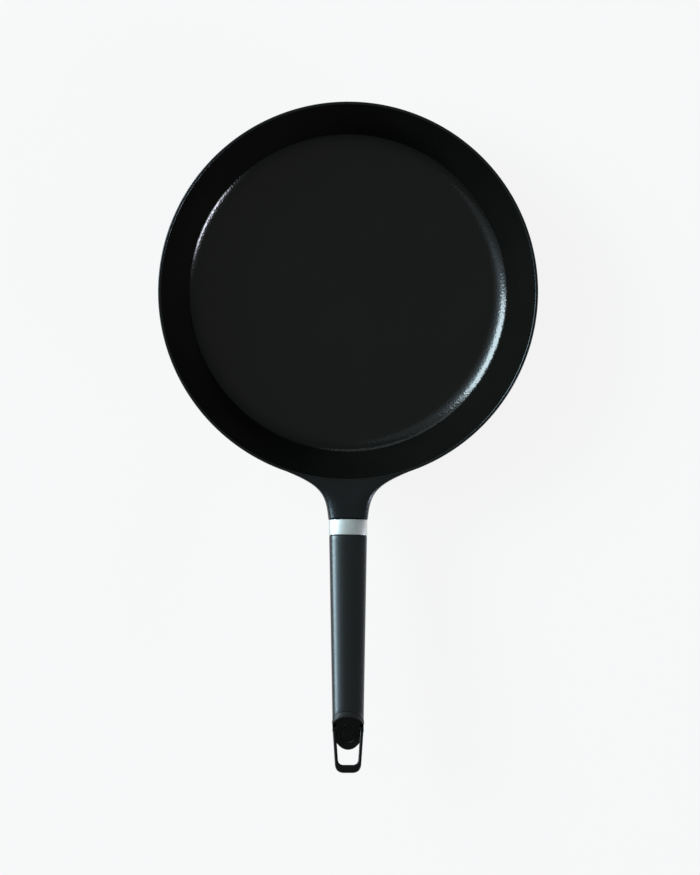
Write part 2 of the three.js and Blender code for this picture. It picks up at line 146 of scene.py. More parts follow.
# Fineness of the meshes
BOWL_SEGMENTS = 384
SECTION_SIDES = 128
ROUND_SIDES = 64
NECK_STATIONS = 48
GRIP_STATIONS = 48
SWEEP_STEPS = 20
WALL_STEPS = 10
EDGE_STEPS = 5
CORNER_STEPS = 16
SWING_STEPS = 18
FLOOR_SHARES = (0.05, 0.3, 0.6, 0.9)
TAPER_PASSES = 4
SMOOTH_ANGLE = math.radians(32)

# How far solids reach into each other before they are joined, and cutters past what they cut
SUNK = 0.15
OVERCUT = 1
BEYOND = 60

# The share to which the neck's hidden inner end shrinks, and the limit on a corner's mitre
NECK_CORE_SHARE = 0.02
MITRE_LIMIT = 0.5

# Places along the handle, measured out from the neck's end
FERRULE_START = FIT
FERRULE_END = FERRULE_START + FERRULE_LENGTH
GRIP_START = FERRULE_END + FIT
SPIGOT_MEETING = FERRULE_START + FERRULE_LENGTH / 2
GRIP_CUT = GRIP_START + GRIP_LENGTH
CAP_FACE = GRIP_CUT + FIT + CAP_BAND
SEAT = CAP_FACE - SEAT_DEPTH
PLUG_END = SEAT - SEAT_WALL
WASHER_START = SEAT + FIT
LOCK_START = WASHER_START + WASHER_THICKNESS + FIT
HEAD_START = LOCK_START + LOCK_THICKNESS + FIT
COVER_START = HEAD_START + HEAD_HEIGHT + FIT
BOLT_TIP = HEAD_START - BOLT_LENGTH
PIVOT = CAP_FACE

# Finishes: the tints of reflections, and the shades of black iron and of its patina
NEUTRAL = (1, 1, 1)
COOL = (0.82, 0.92, 1.0)
PALE_COOL = (0.88, 0.95, 1.0)
IRON_SHADE = Vector((0.0020, 0.0020, 0.0020))
WALL_SHADE = Vector((0.0063, 0.0055, 0.0049))
PATINA_DARK = Vector((0.85, 1.0, 0.95))
PATINA_LIGHT = Vector((1.2, 1.35, 1.3))

# Most values of a noise pattern lie between these two
PATTERN_LOW = 0.3
PATTERN_HIGH = 0.7

# How far a face may lean and still count as turned inwards, or as part of the cap's band
INWARD_LIMIT = 0.15
BAND_SLOPE = 0.3

# Studio
CAMERA_PLACE = (1.42, -107.42, 5000)
CAMERA_LENS = 276.61
SENSOR_WIDTH = 36
CLIP_END = 100000
PANEL_DISTANCE = 5000
HORIZON_LIGHT = (0.048, 0.052, 0.054)
ZENITH_LIGHT = (0.168, 0.176, 0.168)
FLOOR_SIZE = 44000
FLOOR_GAP = 0.2
FLOOR_GLOW = (0.952, 0.95, 0.95)
FLOOR_LIT_SHARE = 0.08

Outline = namedtuple("Outline", "half crown belly power")


def inset(outline, gap):
    """The outline drawn in by a gap all round."""
    return Outline(outline.half - gap, outline.crown - gap, outline.belly - gap, outline.power)


HANDLE_FRONT = Outline(NECK_HALF_WIDTH, NECK_CROWN, NECK_BELLY, CROWN_POWER)
NECK_END = HANDLE_FRONT._replace(power=NECK_CROWN_POWER)
FERRULE_OUTER = inset(HANDLE_FRONT, FERRULE_STEP)
FERRULE_INNER = inset(FERRULE_OUTER, FERRULE_WALL)
SPIGOT = inset(FERRULE_INNER, FIT)
GRIP_FRONT = inset(FERRULE_OUTER, GRIP_STEP)
GRIP_TAIL = Outline(TAIL_HALF_WIDTH, TAIL_CROWN, TAIL_BELLY, CROWN_POWER)
PLUG_SOCKET = inset(GRIP_TAIL, GRIP_WALL)
PLUG = inset(PLUG_SOCKET, FIT)
CAP_OUTER = inset(GRIP_TAIL, -CAP_PROUD)
ARM_OUTER = CAP_OUTER.half - ARM_INSET
ARM_INNER = ARM_OUTER - ARM_WIDTH
COUNTERBORE = WASHER_RADIUS + FIT
PIN_HEAD_SEAT = ARM_OUTER - PIN_HEAD_THICKNESS - FIT

CROWN_LEVEL = PAN_HEIGHT + NECK_REACH * math.tan(HANDLE_TILT)
HANDLE_PLACE = Vector((0, -RIM_RADIUS - NECK_REACH, CROWN_LEVEL - NECK_CROWN / math.cos(HANDLE_TILT)))
HANDLE = Matrix.Translation(HANDLE_PLACE) @ Matrix.Rotation(-HANDLE_TILT, 4, "X")

SWEEP_RUN = SWEEP_RADIUS * math.sin(SWEEP_ANGLE)
WALL_TOP = RIM_RADIUS - RIM_WALL
FLOOR_RADIUS = WALL_TOP - WALL_RUN - SWEEP_RUN
WALL_FOOT = WALL_TOP - WALL_RUN + CREASE * math.cos(SWEEP_ANGLE)


# Mesh helpers

def lerp(a, b, share):
    return a + (b - a) * share


def new_object(name, points, faces, place=Matrix.Identity(4)):
    """A mesh object from points in millimetres, with its faces turned outwards."""
    mesh = bpy.data.meshes.new(name)
    mesh.from_pydata([(place @ Vector(p)) * MM for p in points], [], faces)
    shape = bmesh.new()
    shape.from_mesh(mesh)
    bmesh.ops.recalc_face_normals(shape, faces=shape.faces)
    shape.to_mesh(mesh)
    shape.free()
    made = bpy.data.objects.new(name, mesh)
    bpy.context.scene.collection.objects.link(made)
    return made


def bridge(rings, first, second):
    """Quads between two rings of a list, counted by their places in the list."""
    count = len(rings[0])
    near = first * count
    far = second * count
    faces = []
    for i in range(count):
        following = (i + 1) % count
        faces.append((near + i, near + following, far + following, far + i))
    return faces


def skin(name, rings, place=Matrix.Identity(4), tunnel=False):
    """A solid through closed rings. A tunnel's last ring meets its first; other ends are capped."""
    points = [point for ring_points in rings for point in ring_points]
    faces = []
    for i in range(len(rings) - 1):
        faces += bridge(rings, i, i + 1)
    if tunnel:
        faces += bridge(rings, len(rings) - 1, 0)
    else:
        count = len(rings[0])
        faces.append(tuple(range(count)))
        faces.append(tuple(range(len(points) - count, len(points))))
    return new_object(name, points, faces, place)


def combine(base, other, operation):
    """Joins the other solid to the base or cuts it from the base, and removes the other."""
    step = base.modifiers.new("combine", "BOOLEAN")
    step.operation = operation
    step.solver = "MANIFOLD"
    step.object = other
    graph = bpy.context.evaluated_depsgraph_get()
    made = bpy.data.meshes.new_from_object(base.evaluated_get(graph))
    base.modifiers.clear()
    spent = [base.data, other.data]
    base.data = made
    bpy.data.objects.remove(other)
    for mesh in spent:
        bpy.data.meshes.remove(mesh)
    return base


def join(base, other):
    return combine(base, other, "UNION")


def cut(base, other):
    return combine(base, other, "DIFFERENCE")


def round_steps(radius):
    """Pairs of how far a rounded edge stands in and how far it has run, from its start to its end."""
    turns = [math.pi / 2 * i / EDGE_STEPS for i in range(EDGE_STEPS + 1)]
    return [(radius * (1 - math.sin(turn)), radius * (1 - math.cos(turn))) for turn in turns]


def quadratic(start, pull, end, steps):
    """Points of a curve after its start."""
    shares = [i / steps for i in range(1, steps + 1)]
    return [start.lerp(pull, t).lerp(pull.lerp(end, t), t) for t in shares]


def cubic(curve, t):
    a, b, c, d = curve
    return (1 - t) ** 3 * a + 3 * t * (1 - t) ** 2 * b + 3 * t * t * (1 - t) * c + t ** 3 * d


def ring(make_point, sides=SECTION_SIDES):
    return [make_point(2 * math.pi * i / sides) for i in range(sides)]


def outline_point(outline, angle):
    """A point across the handle: a shallow crown above the widest line, a deep belly below it."""
    c = math.cos(angle)
    s = math.sin(angle)
    power = 2 / (outline.power if s >= 0 else BELLY_POWER)
    height = outline.crown if s >= 0 else outline.belly
    x = outline.half * math.copysign(abs(c) ** power, c)
    z = height * math.copysign(abs(s) ** power, s)
    return x, z


def handle_ring(outline, along):
    """A ring of an outline; along gives the distance down the handle for a height."""
    def point(angle):
        x, z = outline_point(outline, angle)
        return Vector((x, -along(z), z))
    return ring(point)


def bolt_ring(radius, along, sides=SECTION_SIDES):
    """A ring round the bolt's axis; along gives the distance down the handle for a height."""
    def point(angle):
        z = radius * math.sin(angle) - BOLT_DROP
        return Vector((radius * math.cos(angle), -along(z), z))
    return ring(point, sides)


def square(along):
    """The same distance at every height."""
    return lambda z: along


def slanted(along):
    """A distance that falls with height, as the cap's face does."""
    return lambda z: along - z / math.tan(SLANT)


def grip_end(along):
    """Slanted above the line of greatest width, square below it."""
    return lambda z: along - max(z, 0) / math.tan(SLANT)


def bolt_rod(name, radius, start, end, sides=ROUND_SIDES):
    rings = [bolt_ring(radius, square(start), sides), bolt_ring(radius, square(end), sides)]
    return skin(name, rings, HANDLE)


def pin_rings(side, profile):
    """Rings round the pins' axis from pairs of a distance from the handle's middle and a radius."""
    def around(reach, radius):
        return ring(lambda turn: Vector((
            side * reach,
            radius * math.cos(turn) - PIVOT,
            radius * math.sin(turn) - PIVOT_DROP,
        )), ROUND_SIDES)
    return [around(reach, radius) for reach, radius in profile]


def pin_rod(name, side, radius, start, end):
    return skin(name, pin_rings(side, [(start, radius), (end, radius)]), HANDLE)


# Bowl and neck

def bowl_profile(floor_level, sweep_radius, rim_radius, lip_step):
    """Half of the bowl's section from near the axis to the rim, and the way up its wall."""
    centre = Vector((FLOOR_RADIUS, floor_level + sweep_radius))
    points = [Vector((FLOOR_RADIUS * share, floor_level)) for share in FLOOR_SHARES]
    for i in range(SWEEP_STEPS + 1):
        turn = SWEEP_ANGLE * i / SWEEP_STEPS
        points.append(centre + sweep_radius * Vector((math.sin(turn), -math.cos(turn))))
    bend = points[-1] + CREASE * Vector((math.cos(SWEEP_ANGLE), math.sin(SWEEP_ANGLE)))
    lip = Vector((rim_radius, PAN_HEIGHT - LIP_ROUND))
    wall_way = (lip - bend).normalized()
    wall_start = bend + CREASE * wall_way
    points += quadratic(points[-1], bend, wall_start, EDGE_STEPS)
    points += [wall_start.lerp(lip, i / WALL_STEPS) for i in range(1, WALL_STEPS + 1)]
    corner = Vector((rim_radius, PAN_HEIGHT))
    points += quadratic(lip, corner, corner + Vector((lip_step, 0)), EDGE_STEPS)
    return points, wall_way


def turned(name, profile, top):
    """A bowl profile turned round the upright axis and closed off level at its top."""
    def around(radius, level):
        return ring(lambda turn: Vector((
            radius * math.cos(turn),
            radius * math.sin(turn),
            level,
        )), BOWL_SEGMENTS)
    rings = [around(point.x, point.y) for point in profile]
    if top > profile[-1].y:
        rings.append(around(profile[-1].x, top))
    return skin(name, rings)


def top_root(share, height):
    """Where a curve over the neck's top leaves the rim, and the point that it first heads for."""
    turn = math.asin(share * math.sin(NECK_SPREAD))
    radius = RIM_RADIUS - SUNK - RIM_WALL / 2 * height
    level = PAN_HEIGHT - LIP_ROUND * (1 - height)
    side_x = RIM_RADIUS * math.sin(NECK_SPREAD) - NECK_SIDE_PULL * math.cos(NECK_SPREAD)
    side_y = RIM_RADIUS * math.cos(NECK_SPREAD) + NECK_SIDE_PULL * math.sin(NECK_SPREAD)
    pulled_y = lerp(RIM_RADIUS + NECK_TOP_PULL, side_y, share * share)
    point = Vector((radius * math.sin(turn), -radius * math.cos(turn), level))
    return point, Vector((share * side_x, -pulled_y, level))


def wall_root(angle, wall_way):
    """The same for a curve below, which leaves the wall along the wall's own slope."""
    c = math.cos(angle)
    s = abs(math.sin(angle))
    turn = NECK_SPREAD * c
    depth = LIP_ROUND + NECK_ROOT_DEPTH * s
    radius = RIM_RADIUS - SUNK - depth * wall_way.x / wall_way.y
    outwards = Vector((math.sin(turn), -math.cos(turn), 0))
    up_wall = outwards * wall_way.x + Vector((0, 0, wall_way.y))
    way = Vector((-math.cos(turn), -math.sin(turn), 0)) * c + up_wall * s
    pull = lerp(NECK_ROOT_PULL, NECK_SIDE_PULL, c * c)
    point = outwards * radius + Vector((0, 0, PAN_HEIGHT - depth))
    return point, point + way.normalized() * pull


def neck_curve(angle, wall_way):
    """The four points of the curve that runs along the neck at an angle round its outline."""
    x, z = outline_point(NECK_END, angle)
    share = x / NECK_HALF_WIDTH
    if z < 0:
        point, pulled = wall_root(angle, wall_way)
    else:
        point, pulled = top_root(share, z / NECK_CROWN)
    end = Vector((x, NECK_EDGE, z))
    end_pulled = end + Vector((NECK_FLARE * share, 1, 0)).normalized() * NECK_END_PULL
    if z > 0:
        end_pulled.z = NECK_CROWN * (1 - abs(share) ** NECK_FLATNESS) ** (1 / NECK_FLATNESS)
    return point, pulled, HANDLE @ end_pulled, HANDLE @ end


def neck(wall_way):
    """The flared neck: curves that leave rim and wall smoothly and end square to the handle."""
    curves = ring(lambda angle: neck_curve(angle, wall_way))
    rings = [[cubic(curve, i / NECK_STATIONS) for curve in curves] for i in range(NECK_STATIONS + 1)]
    for step_in, run in reversed(round_steps(NECK_EDGE)):
        edge = handle_ring(inset(NECK_END, NECK_EDGE - step_in), square(-run))
        rings.append([HANDLE @ point for point in edge])
    core = Vector((0, -WALL_TOP + WALL_RUN / 2, PAN_HEIGHT - NECK_ROOT_DEPTH / 2))
    rings.insert(0, [core.lerp(point, NECK_CORE_SHARE) for point in rings[0]])
    return skin("neck", rings)


def pan_body():
    """Bowl and neck in one, with the spigot that carries the ferrule and the hole for the bolt."""
    outside, wall_way = bowl_profile(0, SWEEP_RADIUS + FLOOR_THICKNESS, RIM_RADIUS, -LIP_ROUND)
    inside, _ = bowl_profile(FLOOR_THICKNESS, SWEEP_RADIUS, WALL_TOP, LIP_ROUND)
    made = turned("pan_body_fine", outside, PAN_HEIGHT)
    join(made, neck(wall_way))
    spigot = [handle_ring(SPIGOT, square(s)) for s in (-SUNK, SPIGOT_MEETING - FIT)]
    join(made, skin("neck_spigot", spigot, HANDLE))
    cut(made, turned("cavity", inside, PAN_HEIGHT + NECK_CROWN))
    cut(made, bolt_rod("tapped_hole", BOLT_RADIUS + FIT, BOLT_TIP - FIT, FERRULE_END))
    return made


# Handle pieces

def ferrule():
    """The sleeve: outer skin with rounded edges, and a plain bore."""
    rings = [handle_ring(FERRULE_INNER, square(s)) for s in (FERRULE_END, FERRULE_START)]
    for step_in, run in round_steps(FERRULE_EDGE):
        rings.append(handle_ring(inset(FERRULE_OUTER, step_in), square(FERRULE_START + run)))
    for step_in, run in reversed(round_steps(FERRULE_EDGE)):
        rings.append(handle_ring(inset(FERRULE_OUTER, step_in), square(FERRULE_END - run)))
    return skin("ferrule_fine", rings, HANDLE, tunnel=True)


def grip_outline(along):
    share = (along - GRIP_START) / GRIP_LENGTH
    return Outline(*[lerp(front, tail, share) for front, tail in zip(GRIP_FRONT, GRIP_TAIL)])


def grip_ring(share, end, step_in):
    """A ring of the grip's skin between its square front (share 0) and its slanted end (1)."""
    start = GRIP_START + GRIP_EDGE

    def point(angle):
        along = lerp(start, end(0), share)
        for _ in range(TAPER_PASSES):
            x, z = outline_point(inset(grip_outline(along), step_in), angle)
            along = lerp(start, end(z), share)
        return Vector((x, -along, z))
    return ring(point)


def grip():
    """The moulding: spigot in the ferrule, tapered skin, slanted end, plug socket and bolt bore."""
    bore = BOLT_RADIUS + BORE_CLEARANCE
    front = square(SPIGOT_MEETING + FIT)
    socket_floor = square(PLUG_END - FIT)
    rings = [bolt_ring(bore, front), handle_ring(SPIGOT, front)]
    rings.append(handle_ring(SPIGOT, square(GRIP_START)))
    for step_in, run in round_steps(GRIP_EDGE):
        along = GRIP_START + run
        rings.append(handle_ring(inset(grip_outline(along), step_in), square(along)))
    skin_end = grip_end(GRIP_CUT - GRIP_TAIL_EDGE)
    for i in range(1, GRIP_STATIONS + 1):
        rings.append(grip_ring(i / GRIP_STATIONS, skin_end, 0))
    for step_in, run in list(reversed(round_steps(GRIP_TAIL_EDGE)))[1:]:
        rings.append(grip_ring(1, grip_end(GRIP_CUT - run), step_in))
    rings.append(handle_ring(PLUG_SOCKET, grip_end(GRIP_CUT)))
    rings.append(handle_ring(PLUG_SOCKET, socket_floor))
    rings.append(bolt_ring(bore, socket_floor))
    return skin("grip_fine", rings, HANDLE, tunnel=True)


def closing(distance):
    """How far an arm of the loop has closed in at a distance from the pins."""
    return LOOP_NARROWING * distance / LOOP_REACH


def arm_block(side, swing):
    """The room of one arm of the loop at one angle of its swing."""
    half = ARM_HEIGHT / 2 + FIT
    clear = CAP_OUTER.half + BEYOND
    plan = [
        (ARM_INNER - FIT, 0),
        (ARM_INNER - FIT - closing(LOOP_REACH), -LOOP_REACH),
        (clear, -LOOP_REACH),
        (clear, 0),
    ]
    pivot = Matrix.Translation((0, -PIVOT, -PIVOT_DROP)) @ Matrix.Rotation(-swing, 4, "X")
    rings = [[pivot @ Vector((side * x, y, z)) for x, y in plan] for z in (-half, half)]
    return skin("arm_room", rings, HANDLE)


def end_cap():
    """Plug, slanted band with a rounded edge, counterbore, and the pockets in which the arms swing."""
    hole = BOLT_RADIUS + FIT
    back = GRIP_CUT + FIT
    rings = [bolt_ring(hole, square(PLUG_END))]
    for step_in, run in round_steps(CAP_EDGE):
        rings.append(handle_ring(inset(PLUG, step_in), square(PLUG_END + run)))
    rings.append(handle_ring(PLUG, grip_end(back)))
    for step_in, run in round_steps(CAP_BACK_EDGE):
        rings.append(handle_ring(inset(CAP_OUTER, step_in), grip_end(back + run)))
    for step_in, run in reversed(round_steps(CAP_EDGE)):
        rings.append(handle_ring(inset(CAP_OUTER, step_in), slanted(CAP_FACE - run / math.tan(SLANT))))
    rings.append(bolt_ring(COUNTERBORE, slanted(CAP_FACE)))
    rings.append(bolt_ring(COUNTERBORE, square(SEAT)))
    rings.append(bolt_ring(hole, square(SEAT)))
    made = skin("end_cap_fine", rings, HANDLE, tunnel=True)
    for side in (-1, 1):
        cut(made, pin_rod("eye_room", side, EYE_RADIUS + FIT, ARM_INNER - FIT, BEYOND))
        for i in range(SWING_STEPS + 1):
            cut(made, arm_block(side, LOOP_SWING * i / SWING_STEPS))
        pin_root = ARM_INNER - FIT - PIN_GRIP - FIT
        cut(made, pin_rod("pin_hole", side, PIN_RADIUS + FIT, pin_root, CAP_OUTER.half))
    return made


def loop_plan():
    """The loop's outline from above: arms that close in towards a bar with rounded corners."""
    tip = LOOP_REACH - LOOP_BAR
    corner = LOOP_CORNER - ARM_WIDTH

    def side_point(face, distance):
        return Vector((face - closing(distance), -distance))

    def rounded(face, end, radius):
        start = side_point(face, end - radius)
        pull = side_point(face, end)
        return [start] + quadratic(start, pull, pull - Vector((radius, 0)), CORNER_STEPS)

    def mirrored(points):
        return [Vector((-point.x, point.y)) for point in reversed(points)]

    outer = [side_point(ARM_OUTER, 0)] + rounded(ARM_OUTER, LOOP_REACH, LOOP_CORNER)
    inner = [side_point(ARM_INNER, 0)] + rounded(ARM_INNER, tip, corner)
    return outer + mirrored(outer) + list(reversed(mirrored(inner))) + list(reversed(inner))


def drawn_in(plan, gap):
    """A closed outline moved inwards by a gap; the outline runs with its inside on the right."""
    moved = []
    for i, point in enumerate(plan):
        before = (point - plan[i - 1]).normalized()
        after = (plan[(i + 1) % len(plan)] - point).normalized()
        mid = Vector((before.y + after.y, -before.x - after.x)).normalized()
        lean = max(mid.dot(Vector((after.y, -after.x))), MITRE_LIMIT)
        moved.append(point + mid * gap / lean)
    return moved


def hanging_loop():
    """The U-shaped loop with rounded edges, an eye at the end of each arm and seats for the pins."""
    plan = loop_plan()
    half = ARM_HEIGHT / 2
    edge = round_steps(ARM_EDGE)
    heights = [(step_in, run - half) for step_in, run in edge]
    heights += [(step_in, half - run) for step_in, run in reversed(edge)]
    rings = []
    for step_in, height in heights:
        level = height - PIVOT_DROP
        rings.append([Vector((p.x, p.y - PIVOT, level)) for p in drawn_in(plan, step_in)])
    made = skin("hanging_loop_fine", rings, HANDLE)
    for side in (-1, 1):
        join(made, pin_rod("eye", side, EYE_RADIUS, ARM_INNER, ARM_OUTER))
        cut(made, pin_rod("pin_hole", side, PIN_RADIUS + FIT, 0, CAP_OUTER.half))
        cut(made, pin_rod("head_seat", side, PIN_HEAD_RADIUS + FIT, PIN_HEAD_SEAT, CAP_OUTER.half))
    return made


def loop_pin(name, side):
    """A stub pin: a shank with a rounded root, and a flush head with a rounded edge."""
    root = ARM_INNER - FIT - PIN_GRIP
    head = PIN_HEAD_SEAT + FIT
    profile = [(root + run, PIN_RADIUS - step_in) for step_in, run in round_steps(PIN_EDGE)]
    profile += [(head, PIN_RADIUS), (head, PIN_HEAD_RADIUS)]
    edge = reversed(round_steps(PIN_EDGE))
    profile += [(ARM_OUTER - run, PIN_HEAD_RADIUS - step_in) for step_in, run in edge]
    return skin(name, pin_rings(side, profile), HANDLE)


def handle_bolt():
    """The bolt: ridged thread, plain shank, and a head with rounded edges and a hexagon socket."""
    profile = [(BOLT_TIP, BOLT_RADIUS - 2 * THREAD_DEPTH)]
    for i in range(int(THREAD_LENGTH / THREAD_PITCH)):
        crest = BOLT_TIP + THREAD_PITCH * i + THREAD_PITCH / 2
        profile.append((crest, BOLT_RADIUS))
        profile.append((crest + THREAD_PITCH / 2, BOLT_RADIUS - THREAD_DEPTH))
    profile.append((BOLT_TIP + THREAD_LENGTH + THREAD_PITCH / 2, BOLT_RADIUS))
    profile.append((HEAD_START, BOLT_RADIUS))
    head_end = HEAD_START + HEAD_HEIGHT
    profile += [(HEAD_START + run, HEAD_RADIUS - step_in) for step_in, run in round_steps(HEAD_EDGE)]
    edge = reversed(round_steps(HEAD_EDGE))
    profile += [(head_end - run, HEAD_RADIUS - step_in) for step_in, run in edge]
    rings = [bolt_ring(radius, square(along), ROUND_SIDES) for along, radius in profile]
    made = skin("handle_bolt_fine", rings, HANDLE)
    socket_floor = head_end - SOCKET_DEPTH
    return cut(made, bolt_rod("socket", SOCKET_RADIUS, socket_floor, head_end + OVERCUT, SOCKET_SIDES))


def washer(name, radius, start, thickness):
    """A washer with rounded outer edges."""
    end = start + thickness
    hole = BOLT_RADIUS + FIT
    rings = [bolt_ring(hole, square(s), ROUND_SIDES) for s in (end, start)]
    for step_in, run in round_steps(WASHER_EDGE):
        rings.append(bolt_ring(radius - step_in, square(start + run), ROUND_SIDES))
    for step_in, run in reversed(round_steps(WASHER_EDGE)):
        rings.append(bolt_ring(radius - step_in, square(end - run), ROUND_SIDES))
    return skin(name, rings, HANDLE, tunnel=True)


def bolt_washer():
    return washer("bolt_washer_fine", WASHER_RADIUS, WASHER_START, WASHER_THICKNESS)


def lock_washer():
    """A washer split through at one place."""
    made = washer("lock_washer_fine", LOCK_RADIUS, LOCK_START, LOCK_THICKNESS)
    half = LOCK_SPLIT / 2
    plan = [(-half, 0), (half, 0), (half, BEYOND), (-half, BEYOND)]
    spans = (LOCK_START - OVERCUT, LOCK_START + LOCK_THICKNESS + OVERCUT)
    rings = [[Vector((x, -along, z - BOLT_DROP)) for x, z in plan] for along in spans]
    return cut(made, skin("split", rings, HANDLE))


def bolt_cover():
    """A push-in plug that closes the counterbore flush with the slanted face."""
    radius = COUNTERBORE - FIT
    rings = []
    for step_in, run in round_steps(COVER_EDGE):
        rings.append(bolt_ring(radius - step_in, square(COVER_START + run), ROUND_SIDES))
    for step_in, run in reversed(round_steps(COVER_EDGE)):
        face = slanted(CAP_FACE - run / math.tan(SLANT))
        rings.append(bolt_ring(radius - step_in, face, ROUND_SIDES))
    return skin("bolt_cover_fine", rings, HANDLE)


# Materials

class Surface:
    """A material built round one shader, whose patterns follow the piece's own coordinates."""

    def __init__(self, name, **settings):
        self.material = bpy.data.materials.new(name)
        self.material.use_nodes = True
        self.tree = self.material.node_tree
        self.shader = self.tree.nodes["Principled BSDF"]
        self.coordinates = self.tree.nodes.new("ShaderNodeTexCoord").outputs["Object"]
        for socket, value in settings.items():
            self.shader.inputs[socket.replace("_", " ")].default_value = value

    def stretched(self, scale):
        """Coordinates stretched along the axes, for patterns that run one way."""
        mapping = self.tree.nodes.new("ShaderNodeMapping")
        mapping.inputs["Scale"].default_value = scale
        self.tree.links.new(self.coordinates, mapping.inputs["Vector"])
        return mapping.outputs["Vector"]

    def noise(self, grain, detail, coordinates=None):
        """A noise pattern whose blotches are about as large as the grain, in millimetres."""
        pattern = self.tree.nodes.new("ShaderNodeTexNoise")
        pattern.inputs["Scale"].default_value = 1 / (grain * MM)
        pattern.inputs["Detail"].default_value = detail
        self.tree.links.new(coordinates or self.coordinates, pattern.inputs["Vector"])
        return pattern.outputs["Fac"]

    def colours(self, pattern, dark, light):
        """Colours the surface from dark to light by the pattern."""
        ramp = self.tree.nodes.new("ShaderNodeValToRGB")
        ramp.color_ramp.elements[0].position = PATTERN_LOW
        ramp.color_ramp.elements[0].color = (*dark, 1)
        ramp.color_ramp.elements[1].position = PATTERN_HIGH
        ramp.color_ramp.elements[1].color = (*light, 1)
        self.tree.links.new(pattern, ramp.inputs["Fac"])
        self.tree.links.new(ramp.outputs["Color"], self.shader.inputs["Base Color"])

    def roughness(self, pattern, low, high):
        """Lets the roughness run from low to high by the pattern."""
        spread = self.tree.nodes.new("ShaderNodeMapRange")
        spread.inputs["From Min"].default_value = PATTERN_LOW
        spread.inputs["From Max"].default_value = PATTERN_HIGH
        spread.inputs["To Min"].default_value = low
        spread.inputs["To Max"].default_value = high
        self.tree.links.new(pattern, spread.inputs["Value"])
        self.tree.links.new(spread.outputs["Result"], self.shader.inputs["Roughness"])

    def bump(self, pattern, height):
        """Raises the surface by the pattern, by up to the height in millimetres."""
        relief = self.tree.nodes.new("ShaderNodeBump")
        relief.inputs["Distance"].default_value = height * MM
        self.tree.links.new(pattern, relief.inputs["Height"])
        self.tree.links.new(relief.outputs["Normal"], self.shader.inputs["Normal"])


def black_iron(name, shade, gloss, tint, low, high):
    """Seasoned iron with a cast grain; its roughness lies between low and high."""
    made = Surface(name, IOR=1.5, Specular_IOR_Level=gloss, Specular_Tint=(*tint, 1))
    patina = made.noise(grain=60, detail=4)
    made.colours(patina, dark=PATINA_DARK * shade, light=PATINA_LIGHT * shade)
    made.roughness(patina, low, high)
    made.bump(made.noise(grain=1.7, detail=1), height=0.12)
    return made.material


def ferrule_steel():
    """Polished steel with faint marks that run round the sleeve."""
    made = Surface("ferrule_steel", Metallic=1.0)
    marks = made.noise(grain=0.12, detail=2, coordinates=made.stretched((0.04, 1, 0.04)))
    made.colours(marks, dark=(0.65, 0.67, 0.65), light=(0.71, 0.73, 0.71))
    made.roughness(marks, low=0.50, high=0.55)
    made.bump(marks, height=0.001)
    return made.material


def grip_resin():
    """Moulded resin with a fine satin grain."""
    made = Surface("grip_resin", IOR=1.75, Specular_Tint=(*PALE_COOL, 1))
    shade = made.noise(grain=25, detail=3)
    made.colours(shade, dark=(0.0002, 0.0003, 0.0003), light=(0.0005, 0.0006, 0.0007))
    made.roughness(made.noise(grain=1.5, detail=2), low=0.29, high=0.34)
    made.bump(made.noise(grain=0.5, detail=2), height=0.008)
    return made.material


def cap_resin(name, density, low, high):
    """Black moulding; its roughness lies between low and high."""
    made = Surface(name, IOR=density)
    shade = made.noise(grain=12, detail=3)
    made.colours(shade, dark=(0.0007, 0.0008, 0.0008), light=(0.0013, 0.0015, 0.0015))
    made.roughness(made.noise(grain=1.2, detail=2), low, high)
    made.bump(made.noise(grain=0.5, detail=2), height=0.008)
    return made.material


def zinc_steel():
    """Zinc-plated fasteners with a mottled dull shine."""
    made = Surface("zinc_steel", Metallic=1.0)
    mottle = made.noise(grain=1.5, detail=4)
    made.colours(mottle, dark=(0.30, 0.31, 0.32), light=(0.42, 0.43, 0.44))
    made.roughness(mottle, low=0.3, high=0.45)
    made.bump(made.noise(grain=0.4, detail=2), height=0.004)
    return made.material


# Studio

def pale_floor():
    """A pale sheet that glows softly, so that the object's shadow on it stays faint."""
    made = Surface("pale_floor", Roughness=0.9)
    made.colours(made.noise(grain=300, detail=2), dark=(0.90, 0.90, 0.90), light=(0.92, 0.92, 0.92))
    made.bump(made.noise(grain=4, detail=2), height=0.02)
    glow = made.tree.nodes.new("ShaderNodeEmission")
    glow.inputs["Color"].default_value = (*FLOOR_GLOW, 1)
    mix = made.tree.nodes.new("ShaderNodeMixShader")
    mix.inputs["Fac"].default_value = FLOOR_LIT_SHARE
    made.tree.links.new(glow.outputs["Emission"], mix.inputs[1])
    made.tree.links.new(made.shader.outputs["BSDF"], mix.inputs[2])
    made.tree.links.new(mix.outputs["Shader"], made.tree.nodes["Material Output"].inputs["Surface"])
    return made.material


def floor():
    """The sheet under the pan, just clear of its base."""
    half = FLOOR_SIZE / 2
    corners = [(-half, -half), (half, -half), (half, half), (-half, half)]
    sheet = new_object("floor", [(x, y, -FLOOR_GAP) for x, y in corners], [(0, 1, 2, 3)])
    sheet.data.materials.append(pale_floor())


def softbox(name, azimuth, elevation, width, height, radiance, colour):
    """A lit panel that faces the pan. Azimuth is counted from +X towards +Y, in degrees."""
    lamp = bpy.data.lights.new(name, "AREA")
    lamp.shape = "RECTANGLE"
    lamp.size = width * MM
    lamp.size_y = height * MM
    lamp.color = colour
    lamp.energy = radiance * math.pi * lamp.size * lamp.size_y
    panel = bpy.data.objects.new(name, lamp)
    turn = math.radians(azimuth)
    rise = math.radians(elevation)
    way = Vector((math.cos(turn) * math.cos(rise), math.sin(turn) * math.cos(rise), math.sin(rise)))
    panel.location = way * PANEL_DISTANCE * MM
    panel.rotation_euler = way.to_track_quat("Z", "Y").to_euler()
    bpy.context.scene.collection.objects.link(panel)


